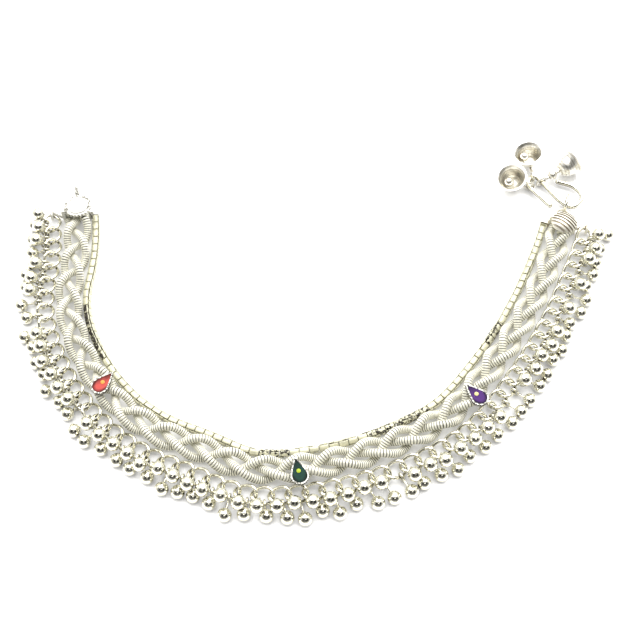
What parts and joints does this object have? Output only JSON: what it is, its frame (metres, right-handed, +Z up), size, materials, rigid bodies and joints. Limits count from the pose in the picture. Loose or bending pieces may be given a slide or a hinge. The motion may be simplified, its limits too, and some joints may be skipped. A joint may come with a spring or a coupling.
{
  "type": "payal anklet",
  "caption": "Silver anklet lying open in an arc: plaited snake chains between a box chain and a curb chain hung with ball drops, with enamel teardrops, end caps, an S-hook and bells.",
  "frame": {"origin": "middle of the bounding box's bottom face, on the table", "axes": "+X from the eye end to the hook end, +Y towards the open side of the arc, +Z up from the table"},
  "size_m": [0.171, 0.1186, 0.0089],
  "materials": {
    "polished_silver": "polished",
    "box_chain_silver": "polished",
    "snake_chain_silver": "bright, ribbed",
    "bell_silver": "satin",
    "enamel_red": "glossy",
    "enamel_green": "glossy",
    "enamel_purple": "glossy",
    "enamel_dot": "glossy"
  },
  "bodies": {
    "root": {"box_chain": "box_chain_silver", "braid_strand_1": "snake_chain_silver", "braid_strand_2": "snake_chain_silver", "braid_strand_3": "snake_chain_silver", "curb_chain": "polished_silver", "outer_drops": "polished_silver", "upper_drops": "polished_silver", "setting_red": "polished_silver", "setting_green": "polished_silver", "setting_purple": "polished_silver", "eye_cap": "polished_silver", "hook_cap": "polished_silver", "eye_ring": "polished_silver", "hook_ring": "polished_silver", "s_hook": "polished_silver", "bell_1": "bell_silver", "bell_2": "bell_silver", "bell_3": "bell_silver", "clapper_1": "bell_silver", "clapper_2": "bell_silver", "clapper_3": "bell_silver", "enamel_red": "enamel_red", "enamel_dot_red": "enamel_dot", "enamel_green": "enamel_green", "enamel_dot_green": "enamel_dot", "enamel_purple": "enamel_purple", "enamel_dot_purple": "enamel_dot"}
  },
  "joints": []
}
